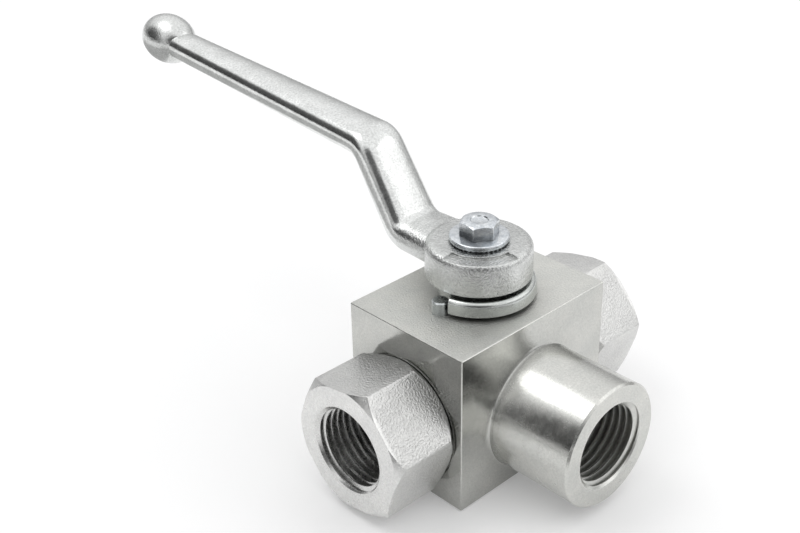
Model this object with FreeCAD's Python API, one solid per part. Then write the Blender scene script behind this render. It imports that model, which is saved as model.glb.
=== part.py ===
"""Three-way block ball valve, G1/2 female ports, 13 mm bore, with a cranked lever.

Frame: X runs along the two in-line ports, -Y out of the side port, +Z up the stem.
The origin lies on the stem axis, on the bottom face of the block. Sizes are in millimetres.
"""
import FreeCAD
import Part
import math
import os

V = FreeCAD.Vector
X_AXIS = V(1, 0, 0)
Y_AXIS = V(0, 1, 0)
Z_AXIS = V(0, 0, 1)

# ---- block -------------------------------------------------------------------------------
block_length = 47.5          # along X, between the two in-line adapters
block_width = 35.0           # along Y
block_height = 40.0          # along Z
port_axis_height = 17.3      # ports above the bottom face
block_edge_chamfer = 0.3
spigot_diameter = 30.0       # round side port
spigot_reach = 22.2          # side port beyond the block face
spigot_end_chamfer = 0.5
spigot_root_cone = 1.0

# ---- flow path ---------------------------------------------------------------------------
bore_diameter = 13.0
ball_diameter = 23.0
ball_top_cut = 0.6           # flat ground on top of the ball
cavity_clearance = 0.5       # radial room round the ball

# ---- port thread, G1/2 -------------------------------------------------------------------
thread_major = 20.955
thread_minor = 18.631
thread_pitch = 1.814
thread_depth = 15.0
drill_depth = 18.0           # plain tapping-drill wall runs on behind the thread
thread_crest_share = 0.16    # flat crest and flat root, as a share of the pitch
drill_point_angle = 118.0

# ---- in-line adapters --------------------------------------------------------------------
hex_across_flats = 30.0
left_hex_turn = 10.3         # degrees, how far each tightened hexagon stands off level
right_hex_turn = 11.7
adapter_reach = 17.85        # front face beyond the block face
adapter_gap = 0.4            # thin groove left between hexagon and block
hex_face_radius = 15.3       # end face after chamfering
hex_front_chamfer = 1.5
hex_rear_radius = 15.4
hex_rear_chamfer = 2.2
adapter_thread_step = 1.5    # adapter screw thread outside the ball cavity, radial
adapter_thread_length = 8.0
fit_clearance = 0.02         # radial, between pieces that screw or push together

# ---- seats and their seals ---------------------------------------------------------------
seat_inside_ball = 1.5       # seat rim inside the ball's outline, radial
seat_bore_step = 0.3         # seat opening outside the flow bore, radial
seat_behind_ball = 0.1       # rear face of a seat beyond the ball
seat_length = 4.0
seat_ball_clearance = 0.05
seat_ring_cord = 1.9         # O-ring behind each seat
adapter_lip = 2.0            # rim of an adapter's seat pocket before the seat's rear face
adapter_ring_groove_depth = 1.3
adapter_ring_groove_width = 2.3

# ---- stem --------------------------------------------------------------------------------
stem_diameter = 12.0
stem_clearance = 0.03
stem_collar_step = 1.8       # collar beyond the shaft, radial
stem_collar_thickness = 2.5
stem_collar_gap = 0.4        # collar above the flat on the ball
stem_collar_clearance = 0.2
thrust_washer_thickness = 0.8
thrust_washer_play = 0.05
stem_groove_depth = 1.55
stem_groove_width = 2.0
stem_groove_land = 1.2
stem_shoulder_above_block = 1.0
square_share = 0.75          # square across flats, as a share of the stem diameter
square_corner_cut = 0.1      # corners turned below the stem, radial
square_clearance = 0.04
square_below_boss_top = 0.5
tang_thickness = 5.0
tang_width = 11.0
tang_depth = 3.0             # tang into the ball
tang_clearance = 0.08
tang_bottom_gap = 0.2

# ---- stop disc and stop pin --------------------------------------------------------------
disc_diameter = 26.5
disc_thickness = 3.5
disc_edge_radius = 1.2
pin_diameter = 4.0
pin_orbit = 12.4             # pin centre from the stem axis
pin_angle = 180.0            # degrees from +X
pin_height = 3.2             # above the block
pin_depth = 6.0              # pressed into the block
pin_tip_chamfer = 0.3
stop_play = 3.0              # degrees left between disc and pin at each end of travel
travel = 90.0                # degrees of lever swing
cutout_clearance = 1.0       # radial room between pin and disc

# ---- handle ------------------------------------------------------------------------------
boss_diameter = 24.6
boss_height = 8.2
boss_pad_diameter = 16.0
boss_pad_height = 0.9
boss_top_round = 1.8
flow_mark_depth = 0.5        # quarter recess that shows the two ports in use
flow_mark_inner_radius = 8.5
arm_root_width = 16.6        # at the stem axis
arm_bend_width = 13.0        # where the crank ends
arm_tip_width = 8.8          # at the knob
arm_bend_width_reach = 36.0
arm_thickness = 6.2
arm_slope = 3.6              # degrees above level
arm_top_at_bend = 70.6       # height of the arm's top line where the crank meets it
arm_bend_reach = 31.4        # distance of that bend from the stem axis
crank_angle = 56.0           # degrees above level
crank_thickness = 6.8
neck_drop = 1.0              # arm below the boss top where they meet
bend_radius_outer = 8.0
bend_radius_inner = 3.0
arm_edge_round = 2.5
knob_diameter = 13.2
knob_stretch = 4.4           # straight middle of the knob, along the arm
knob_reach = 116.4

# ---- screw and washer --------------------------------------------------------------------
screw_diameter = 5.0
screw_length = 10.0
screw_head_flats = 8.0
screw_head_height = 3.5
screw_head_turn = 26.0       # degrees
screw_head_chamfer = 0.7
screw_crown_inset = 0.2      # top circle of the head inside its flats, radial
screw_dish_diameter = 4.2
screw_dish_depth = 0.4
screw_hole_extra = 1.5
washer_diameter = 13.7
washer_thickness = 1.1
washer_hole = 5.4
lock_washer_diameter = 13.0
lock_washer_thickness = 0.4
lock_washer_teeth = 24
lock_washer_tooth_depth = 1.2

OVERSHOOT = 1.0              # extra length on cutting tools
HALF_HEX_STEP = 30.0         # degrees from a hexagon's corner to the middle of a flat

# ---- derived places ----------------------------------------------------------------------
half_length = block_length / 2
half_width = block_width / 2
ball_centre = V(0, 0, port_axis_height)
ball_radius = ball_diameter / 2
ball_top_flat = ball_radius - ball_top_cut
cavity_radius = ball_radius + cavity_clearance
adapter_thread_radius = cavity_radius + adapter_thread_step
seat_outer_diameter = ball_diameter - 2 * seat_inside_ball
seat_inner_diameter = bore_diameter + 2 * seat_bore_step
seat_back = ball_radius + seat_behind_ball
seat_front = seat_back - seat_length
adapter_inner_end = seat_back - adapter_lip
side_face = -(half_width + spigot_reach)
adapter_face = half_length + adapter_reach
adapter_pocket_floor = seat_back + seat_ring_cord
stem_collar_diameter = stem_diameter + 2 * stem_collar_step
stem_groove_diameter = stem_diameter - 2 * stem_groove_depth
square_width = stem_diameter * square_share
square_corner_diameter = stem_diameter - 2 * square_corner_cut
collar_bottom = port_axis_height + ball_top_flat + stem_collar_gap
collar_top = collar_bottom + stem_collar_thickness
counterbore_top = collar_top + thrust_washer_play + thrust_washer_thickness
stem_shoulder = block_height + stem_shoulder_above_block
disc_top = stem_shoulder + disc_thickness
boss_bottom = disc_top + boss_pad_height
boss_top = boss_bottom + boss_height
pin_centre = V(pin_orbit * math.cos(math.radians(pin_angle)), pin_orbit * math.sin(math.radians(pin_angle)), 0)
pin_half_angle = math.degrees(math.asin(pin_diameter / 2 / pin_orbit))
groove_top_lower = (counterbore_top + block_height) / 2 - stem_groove_land / 2
groove_bottom_upper = groove_top_lower + stem_groove_land


def cylinder(diameter, length, base, axis=Z_AXIS):
    """Solid cylinder from a base point along an axis."""
    return Part.makeCylinder(diameter / 2, length, base, axis)


def tube(outer, inner, length, base, axis=Z_AXIS):
    """Plain ring: an outer cylinder less a bore."""
    start = base - axis * OVERSHOOT
    return cylinder(outer, length, base, axis).cut(cylinder(inner, length + 2 * OVERSHOOT, start, axis))


def box(size_x, size_y, z_low, z_high):
    """Block centred on the Z axis between two heights."""
    return Part.makeBox(size_x, size_y, z_high - z_low, V(-size_x / 2, -size_y / 2, z_low))


def revolved(outline, base, axis):
    """Solid turned about an axis from (station, radius) points, stations measured from base."""
    side = V(0, 0, 1) if abs(axis.z) < 0.5 else V(1, 0, 0)
    points = [base + axis * station + side * radius for station, radius in outline]
    face = Part.Face(Part.makePolygon(points + points[:1]))
    return face.revolve(base, axis, 360)


def o_ring(inner_diameter, cord, centre, axis=Z_AXIS):
    """Ring of round section."""
    return Part.makeTorus((inner_diameter + cord) / 2, cord / 2, centre, axis)


def port_cutter(mouth, inward):
    """Tool for one threaded port: mouth chamfer, thread grooves, tapping drill and its point.

    The thread is a row of ring grooves of the true pitch and depth.
    """
    minor = thread_minor / 2
    major = thread_major / 2
    lead_in = major - minor
    crest = thread_pitch * thread_crest_share
    flank = thread_pitch / 2 - crest
    outline = [(-OVERSHOOT, 0), (-OVERSHOOT, major), (0, major), (lead_in, minor)]
    station = lead_in + crest
    while station + thread_pitch < thread_depth:
        outline += [(station, minor), (station + flank, major)]
        outline += [(station + flank + crest, major), (station + 2 * flank + crest, minor)]
        station += thread_pitch
    point_length = minor / math.tan(math.radians(drill_point_angle / 2))
    outline += [(drill_depth, minor), (drill_depth + point_length, 0)]
    return revolved(outline, mouth, inward)


def hexagon(across_flats, length, base, axis, turn):
    """Hexagonal bar along an axis, turned about it from a start with a corner up (or towards +X)."""
    start = V(0, 0, 1) if abs(axis.z) < 0.5 else V(1, 0, 0)
    radius = across_flats / math.sqrt(3)
    corners = []
    for step in range(6):
        spin = FreeCAD.Rotation(axis, turn + 60 * step)
        corners.append(base + spin.multVec(start * radius))
    return Part.Face(Part.makePolygon(corners + corners[:1])).extrude(axis * length)


def squared_shaft(width, corner_diameter, z_low, z_high):
    """Square with turned corners, standing on the stem axis."""
    bar = box(width, width, z_low, z_high)
    return bar.common(cylinder(corner_diameter, z_high - z_low, V(0, 0, z_low)))


def side_edges(shape, test):
    """Edges whose two ends and middle all pass a test."""
    chosen = []
    for edge in shape.Edges:
        middle = edge.valueAt((edge.FirstParameter + edge.LastParameter) / 2)
        points = [vertex.Point for vertex in edge.Vertexes] + [middle]
        if all(test(point) for point in points):
            chosen.append(edge)
    return chosen


# ---- block and ports ---------------------------------------------------------------------
def make_body():
    """Steel block with the turned side port in one piece."""
    block = box(block_length, block_width, 0, block_height)
    block = block.makeChamfer(block_edge_chamfer, block.Edges)
    root = V(0, -half_width, port_axis_height)
    spigot = revolved(
        [(-OVERSHOOT, 0), (-OVERSHOOT, spigot_diameter / 2 + spigot_root_cone),
         (0, spigot_diameter / 2 + spigot_root_cone), (spigot_root_cone, spigot_diameter / 2),
         (spigot_reach - spigot_end_chamfer, spigot_diameter / 2),
         (spigot_reach, spigot_diameter / 2 - spigot_end_chamfer), (spigot_reach, 0)],
        root, -Y_AXIS)
    body = block.fuse(spigot).removeSplitter()
    through = cylinder(2 * cavity_radius, block_length + 2 * OVERSHOOT,
                       V(-half_length - OVERSHOOT, 0, port_axis_height), X_AXIS)
    body = body.cut(through)
    thread_bore = 2 * (adapter_thread_radius + fit_clearance)
    for side in (-1, 1):
        mouth = V(side * (half_length + OVERSHOOT), 0, port_axis_height)
        body = body.cut(cylinder(thread_bore, adapter_thread_length + OVERSHOOT, mouth, X_AXIS * -side))
    side_mouth = V(0, side_face, port_axis_height)
    body = body.cut(port_cutter(side_mouth, Y_AXIS))
    body = body.cut(cylinder(bore_diameter, -side_face, side_mouth, Y_AXIS))
    body = body.cut(cylinder(stem_collar_diameter + 2 * stem_collar_clearance,
                             counterbore_top - port_axis_height, ball_centre))
    body = body.cut(cylinder(stem_diameter + 2 * stem_clearance, block_height, V(0, 0, counterbore_top)))
    pin_seat = pin_centre + V(0, 0, block_height - pin_depth)
    body = body.cut(cylinder(pin_diameter, pin_depth + OVERSHOOT, pin_seat))
    return body


def make_adapter(side, hex_turn):
    """Screwed hexagon adapter with a threaded port; side is -1 for left, 1 for right."""
    outward = X_AXIS * side
    root = V(side * half_length, 0, port_axis_height)
    hex_length = adapter_reach - adapter_gap
    hex_corner = hex_across_flats / math.sqrt(3)
    corner = hex_corner + OVERSHOOT
    rise = corner - hex_face_radius
    front_slope = hex_front_chamfer / (hex_corner - hex_face_radius)
    rear_slope = hex_rear_chamfer / (hex_corner - hex_rear_radius)
    envelope = revolved(
        [(adapter_gap, 0), (adapter_gap, hex_rear_radius),
         (adapter_gap + rear_slope * (corner - hex_rear_radius), corner),
         (adapter_reach - front_slope * rise, corner), (adapter_reach, hex_face_radius), (adapter_reach, 0)],
        root, outward)
    head = hexagon(hex_across_flats, hex_length, root + outward * adapter_gap, outward, side * (HALF_HEX_STEP - hex_turn))
    adapter = head.common(envelope)
    groove_floor = cavity_radius - fit_clearance - adapter_ring_groove_depth
    groove_start = half_length - adapter_thread_length
    groove_end = groove_start - adapter_ring_groove_width
    stub_end = half_length + adapter_gap + OVERSHOOT
    stub = revolved(
        [(adapter_inner_end, 0), (adapter_inner_end, cavity_radius - fit_clearance),
         (groove_end, cavity_radius - fit_clearance), (groove_end, groove_floor),
         (groove_start, groove_floor), (groove_start, adapter_thread_radius),
         (stub_end, adapter_thread_radius), (stub_end, 0)],
        ball_centre, outward)
    adapter = adapter.fuse(stub).removeSplitter()
    mouth = V(side * adapter_face, 0, port_axis_height)
    adapter = adapter.cut(port_cutter(mouth, outward * -1))
    adapter = adapter.cut(cylinder(bore_diameter, adapter_face, ball_centre, outward))
    pocket = cylinder(seat_outer_diameter + 2 * fit_clearance, adapter_pocket_floor, ball_centre, outward)
    return adapter.cut(pocket)


def make_adapter_o_ring(side):
    """O-ring in the adapter's outer groove."""
    centre_x = half_length - adapter_thread_length - adapter_ring_groove_width / 2
    cord = adapter_ring_groove_depth
    inner = 2 * (cavity_radius - fit_clearance - adapter_ring_groove_depth)
    return o_ring(inner, cord, V(side * centre_x, 0, port_axis_height), X_AXIS)


def make_seat(side):
    """Ball seat: a ring with a face hollowed to the ball."""
    outward = X_AXIS * side
    ring = tube(seat_outer_diameter, seat_inner_diameter, seat_back - seat_front,
                ball_centre + outward * seat_front, outward)
    return ring.cut(Part.makeSphere(ball_radius + seat_ball_clearance, ball_centre))


def make_seat_o_ring(side):
    """O-ring that pushes a seat against the ball."""
    centre_x = seat_back + seat_ring_cord / 2
    inner = seat_outer_diameter - 2 * seat_ring_cord
    return o_ring(inner, seat_ring_cord, V(side * centre_x, 0, port_axis_height), X_AXIS)


def make_ball():
    """Ball with an L-shaped bore from the side port to the left port, and a slot for the stem."""
    ball = Part.makeSphere(ball_radius, ball_centre)
    flat_height = port_axis_height + ball_top_flat
    ball = ball.cut(box(ball_diameter, ball_diameter, flat_height, flat_height + ball_radius))
    ball = ball.cut(cylinder(bore_diameter, ball_diameter, ball_centre, -Y_AXIS))
    ball = ball.cut(cylinder(bore_diameter, ball_diameter, ball_centre, -X_AXIS))
    ball = ball.cut(Part.makeSphere(bore_diameter / 2, ball_centre))
    slot_floor = flat_height - tang_depth - tang_bottom_gap + stem_collar_gap
    slot = box(tang_thickness + 2 * tang_clearance, ball_diameter, slot_floor, flat_height + OVERSHOOT)
    return ball.cut(slot)


# ---- stem --------------------------------------------------------------------------------
def make_stem():
    """Stem: tang, collar, sealed shaft with two grooves, and the square for disc and handle."""
    shaft = cylinder(stem_diameter, stem_shoulder - collar_top, V(0, 0, collar_top))
    collar = cylinder(stem_collar_diameter, stem_collar_thickness, V(0, 0, collar_bottom))
    tang = box(tang_thickness, tang_width, collar_bottom - tang_depth, collar_bottom)
    square_top = boss_top - square_below_boss_top
    square = squared_shaft(square_width, square_corner_diameter, stem_shoulder, square_top)
    stem = shaft.fuse([collar, tang, square])
    for groove_bottom in (groove_top_lower - stem_groove_width, groove_bottom_upper):
        stem = stem.cut(tube(stem_diameter + 2 * OVERSHOOT, stem_groove_diameter, stem_groove_width,
                             V(0, 0, groove_bottom)))
    hole_depth = screw_length - washer_thickness - lock_washer_thickness + screw_hole_extra
    hole = cylinder(screw_diameter + 2 * fit_clearance, hole_depth + OVERSHOOT, V(0, 0, boss_top - hole_depth))
    return stem.cut(hole).removeSplitter()


def make_thrust_washer():
    """Low-friction washer between the stem collar and the block."""
    return tube(stem_collar_diameter, stem_diameter + 2 * stem_collar_clearance, thrust_washer_thickness,
                V(0, 0, collar_top + thrust_washer_play))


def make_stem_o_ring(groove_bottom):
    """O-ring in a stem groove, filling it from the groove floor to the block bore."""
    cord = (stem_diameter - stem_groove_diameter) / 2
    return o_ring(stem_groove_diameter, cord, V(0, 0, groove_bottom + stem_groove_width / 2))


# ---- stop disc and pin -------------------------------------------------------------------
def make_stop_disc():
    """Disc on the stem square with a cut-out that gives the lever its quarter turn."""
    disc = cylinder(disc_diameter, disc_thickness, V(0, 0, stem_shoulder))
    rim = side_edges(disc, lambda point: abs(point.z - disc_top) < 1e-6)
    disc = disc.makeFillet(disc_edge_radius, rim)
    half_gap = pin_half_angle + stop_play
    start = pin_angle + half_gap - (travel + 2 * half_gap)
    inner_radius = pin_orbit - pin_diameter / 2 - cutout_clearance
    sector = Part.makeCylinder(disc_diameter, disc_thickness + 2 * OVERSHOOT,
                               V(0, 0, stem_shoulder - OVERSHOOT), Z_AXIS, travel + 2 * half_gap)
    sector.rotate(V(0, 0, 0), Z_AXIS, start)
    core = cylinder(2 * inner_radius, disc_thickness + 4 * OVERSHOOT, V(0, 0, stem_shoulder - 2 * OVERSHOOT))
    disc = disc.cut(sector.cut(core))
    hole = squared_shaft(square_width + 2 * square_clearance, square_corner_diameter + 2 * square_clearance,
                         stem_shoulder - OVERSHOOT, disc_top + OVERSHOOT)
    return disc.cut(hole)


def make_stop_pin():
    """Pin pressed into the block beside the stop disc."""
    base = pin_centre + V(0, 0, block_height - pin_depth)
    pin = cylinder(pin_diameter, pin_depth + pin_height, base)
    tip = side_edges(pin, lambda point: abs(point.z - block_height - pin_height) < 1e-6)
    return pin.makeChamfer(pin_tip_chamfer, tip)


# ---- handle ------------------------------------------------------------------------------
def arc_corner(before, corner, after, radius):
    """Tangent arc round one corner of an outline: its start, middle and end points."""
    to_before = (before - corner).normalize()
    to_after = (after - corner).normalize()
    half = to_before.getAngle(to_after) / 2
    bisector = (to_before + to_after).normalize()
    centre = corner + bisector * (radius / math.sin(half))
    setback = radius / math.tan(half)
    return corner + to_before * setback, centre - bisector * radius, corner + to_after * setback


def rounded_wire(points, radii):
    """Closed wire through points, each corner rounded by its own radius (0 keeps it sharp)."""
    count = len(points)
    edges = []
    ends = []
    for index, corner in enumerate(points):
        if radii[index] > 0:
            start, middle, end = arc_corner(points[index - 1], corner, points[(index + 1) % count], radii[index])
            edges.append(Part.Arc(start, middle, end).toShape())
            ends.append((start, end))
        else:
            ends.append((corner, corner))
    for index in range(count):
        edges.append(Part.makeLine(ends[index][1], ends[(index + 1) % count][0]))
    return Part.Wire(Part.__sortEdges__(edges))


def knob_height():
    """Height of the knob's centre, on the middle line of the arm."""
    rise = (knob_reach - arm_bend_reach) * math.tan(math.radians(arm_slope))
    return arm_top_at_bend + rise - arm_thickness / math.cos(math.radians(arm_slope)) / 2


def make_knob():
    """Ball end, slightly drawn out along the arm."""
    along = V(0, math.cos(math.radians(arm_slope)), math.sin(math.radians(arm_slope)))
    centre = V(0, knob_reach, knob_height())
    inner_end = centre - along * (knob_stretch / 2)
    outer_end = centre + along * (knob_stretch / 2)
    middle = cylinder(knob_diameter, knob_stretch, inner_end, along)
    ends = [Part.makeSphere(knob_diameter / 2, point) for point in (inner_end, outer_end)]
    return middle.fuse(ends).removeSplitter()


def make_arm():
    """Cranked arm: a side outline pushed through its width, then trimmed to its taper."""
    slope = math.tan(math.radians(arm_slope))
    crank = math.radians(crank_angle)
    top_bend = V(0, arm_bend_reach, arm_top_at_bend)
    neck_level = boss_top - neck_drop
    neck_top = V(0, arm_bend_reach - (arm_top_at_bend - neck_level) / math.tan(crank), neck_level)
    neck_low = V(0, neck_top.y + crank_thickness / math.sin(crank) +
                 (boss_bottom - neck_level) / math.tan(crank), boss_bottom)
    drop = arm_thickness / math.cos(math.radians(arm_slope))
    low_reach = (arm_top_at_bend - drop - boss_bottom - slope * (arm_bend_reach - neck_low.y)
                 ) / (math.tan(crank) - slope) + neck_low.y
    low_bend = V(0, low_reach, arm_top_at_bend - drop + slope * (low_reach - arm_bend_reach))
    top_end = V(0, knob_reach, knob_height() + drop / 2)
    low_end = V(0, knob_reach, knob_height() - drop / 2)
    outline = [V(0, 0, neck_level), neck_top, top_bend, top_end, low_end, low_bend, neck_low, V(0, 0, boss_bottom)]
    outer = bend_radius_outer
    inner = bend_radius_inner
    wire = rounded_wire(outline, [0, inner, outer, 0, 0, inner, outer, 0])
    plate = Part.Face(wire)
    width = arm_root_width + 2 * OVERSHOOT
    plate.translate(V(-width / 2, 0, 0))
    arm = plate.extrude(V(width, 0, 0))
    low = boss_bottom - OVERSHOOT
    half_widths = [(0, arm_root_width / 2), (arm_bend_width_reach, arm_bend_width / 2),
                   (knob_reach, arm_tip_width / 2)]
    corners = [V(half, reach, low) for reach, half in half_widths]
    corners += [V(-half, reach, low) for reach, half in reversed(half_widths)]
    taper = Part.Face(Part.makePolygon(corners + corners[:1])).extrude(V(0, 0, 2 * arm_top_at_bend))
    arm = arm.common(taper)
    long_edges = side_edges(arm, lambda point: abs(point.x) > arm_tip_width / 4)
    long_edges = [edge for edge in long_edges if abs(edge.Vertexes[0].Y - edge.Vertexes[1].Y) > 0.5]
    return arm.makeFillet(arm_edge_round, long_edges)


def make_handle():
    """Lever in one piece: boss, cranked arm and ball end."""
    boss = cylinder(boss_diameter, boss_height, V(0, 0, boss_bottom))
    boss = boss.makeFillet(boss_top_round, side_edges(boss, lambda point: abs(point.z - boss_top) < 1e-6))
    pad = cylinder(boss_pad_diameter, boss_pad_height + OVERSHOOT, V(0, 0, disc_top))
    handle = boss.fuse([pad, make_arm(), make_knob()]).removeSplitter()
    mark = Part.makeCylinder(boss_diameter, flow_mark_depth + OVERSHOOT, V(0, 0, boss_top - flow_mark_depth),
                             Z_AXIS, 90)
    mark.rotate(V(0, 0, 0), Z_AXIS, 180)
    mark = mark.cut(cylinder(2 * flow_mark_inner_radius, 4 * OVERSHOOT, V(0, 0, boss_top - 2 * OVERSHOOT)))
    handle = handle.cut(mark)
    hole = squared_shaft(square_width + 2 * square_clearance, square_corner_diameter + 2 * square_clearance,
                         disc_top - OVERSHOOT, boss_top + OVERSHOOT)
    return handle.cut(hole)


# ---- fasteners ---------------------------------------------------------------------------
def make_handle_lock_washer():
    """Toothed lock washer between the handle and the flat washer."""
    washer = tube(lock_washer_diameter, washer_hole, lock_washer_thickness, V(0, 0, boss_top))
    notch_width = math.pi * lock_washer_diameter / lock_washer_teeth / 2
    notch = Part.makeBox(2 * lock_washer_tooth_depth, notch_width, 2 * lock_washer_thickness + OVERSHOOT,
                         V(lock_washer_diameter / 2 - lock_washer_tooth_depth, -notch_width / 2,
                           boss_top - OVERSHOOT))
    notches = []
    for tooth in range(lock_washer_teeth):
        copy = notch.copy()
        copy.rotate(V(0, 0, 0), Z_AXIS, 360 * tooth / lock_washer_teeth)
        notches.append(copy)
    return washer.cut(notches)


def make_handle_washer():
    """Large flat washer that clamps the handle."""
    return tube(washer_diameter, washer_hole, washer_thickness, V(0, 0, boss_top + lock_washer_thickness))


def make_handle_screw():
    """Hexagon screw with a chamfered, lightly dished head."""
    seat = boss_top + lock_washer_thickness + washer_thickness
    head = hexagon(screw_head_flats, screw_head_height, V(0, 0, seat), Z_AXIS, screw_head_turn)
    corner = screw_head_flats / math.sqrt(3)
    crown_radius = screw_head_flats / 2 - screw_crown_inset
    crown = revolved(
        [(0, 0), (0, corner + OVERSHOOT),
         (screw_head_height - screw_head_chamfer * (corner + OVERSHOOT - crown_radius) / (corner - crown_radius),
          corner + OVERSHOOT), (screw_head_height, crown_radius), (screw_head_height, 0)],
        V(0, 0, seat), Z_AXIS)
    head = head.common(crown)
    head = head.cut(cylinder(screw_dish_diameter, screw_dish_depth + OVERSHOOT,
                             V(0, 0, seat + screw_head_height - screw_dish_depth)))
    shank = cylinder(screw_diameter, screw_length, V(0, 0, seat - screw_length))
    return head.fuse(shank).removeSplitter()


def make_parts():
    """Every piece by its node name."""
    parts = {
        "body": make_body(),
        "ball": make_ball(),
        "stem": make_stem(),
        "stem_thrust_washer": make_thrust_washer(),
        "stem_o_ring_lower": make_stem_o_ring(groove_top_lower - stem_groove_width),
        "stem_o_ring_upper": make_stem_o_ring(groove_bottom_upper),
        "stop_disc": make_stop_disc(),
        "stop_pin": make_stop_pin(),
        "handle": make_handle(),
        "handle_lock_washer": make_handle_lock_washer(),
        "handle_washer": make_handle_washer(),
        "handle_screw": make_handle_screw(),
    }
    for name, side, hex_turn in (("left", -1, left_hex_turn), ("right", 1, right_hex_turn)):
        parts[name + "_adapter"] = make_adapter(side, hex_turn)
        parts[name + "_adapter_o_ring"] = make_adapter_o_ring(side)
        parts[name + "_seat"] = make_seat(side)
        parts[name + "_seat_o_ring"] = make_seat_o_ring(side)
    return parts


def main():
    """Build every piece and write one file each."""
    os.makedirs("parts", exist_ok=True)
    for name, shape in make_parts().items():
        solids = shape.Solids
        print(name, "solids", len(solids), "valid", shape.isValid(), "volume", round(shape.Volume, 1))
        shape.exportStep("parts/" + name + ".step")


main()
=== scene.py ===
"""Looks of a three-way block ball valve with hexagon adapters and a cranked lever.

Everything is in metres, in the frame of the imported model: X along the two in-line ports,
-Y out of the round side port, +Z up the stem. Sizes in the classes are in millimetres.
"""
import logging
import math
from dataclasses import dataclass
from enum import Enum

import bmesh
import bpy
from mathutils import Matrix, Vector


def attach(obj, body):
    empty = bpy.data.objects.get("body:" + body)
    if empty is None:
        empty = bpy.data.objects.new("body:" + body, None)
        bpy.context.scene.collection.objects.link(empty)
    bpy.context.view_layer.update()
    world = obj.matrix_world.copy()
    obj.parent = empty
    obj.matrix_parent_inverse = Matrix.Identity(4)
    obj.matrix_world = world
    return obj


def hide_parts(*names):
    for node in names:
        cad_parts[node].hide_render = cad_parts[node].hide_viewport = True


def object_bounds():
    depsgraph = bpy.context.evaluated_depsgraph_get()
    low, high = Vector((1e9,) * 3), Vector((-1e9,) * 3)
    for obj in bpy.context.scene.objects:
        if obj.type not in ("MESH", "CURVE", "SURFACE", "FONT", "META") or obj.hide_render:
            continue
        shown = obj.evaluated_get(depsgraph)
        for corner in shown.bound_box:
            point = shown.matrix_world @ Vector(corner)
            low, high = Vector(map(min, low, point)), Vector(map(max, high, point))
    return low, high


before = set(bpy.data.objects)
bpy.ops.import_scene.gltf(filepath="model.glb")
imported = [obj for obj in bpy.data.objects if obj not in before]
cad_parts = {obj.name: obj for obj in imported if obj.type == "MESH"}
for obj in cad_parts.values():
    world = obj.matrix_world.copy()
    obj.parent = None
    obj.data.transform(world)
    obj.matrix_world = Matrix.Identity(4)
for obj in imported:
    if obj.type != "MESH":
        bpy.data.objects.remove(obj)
CAD_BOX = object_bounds()

MM = 0.001
OVERSHOOT = 1.0  # how far a tool reaches past the face that it cuts, in millimetres
SMOOTH_ANGLE = math.radians(32.0)
MERGE_DISTANCE = 1e-6
FINE_SIDES = 128
ROUND_SIDES = 96
SMALL_SIDES = 48
SENSOR_WIDTH = 36.0

LOG = logging.getLogger("ball_valve")


# ---- bench: the few operations every piece is made with ----------------------------------
class Cut(Enum):
    """How a tool shape acts on a piece."""

    AWAY = "DIFFERENCE"
    JOIN = "UNION"
    KEEP_COMMON = "INTERSECT"


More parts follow.
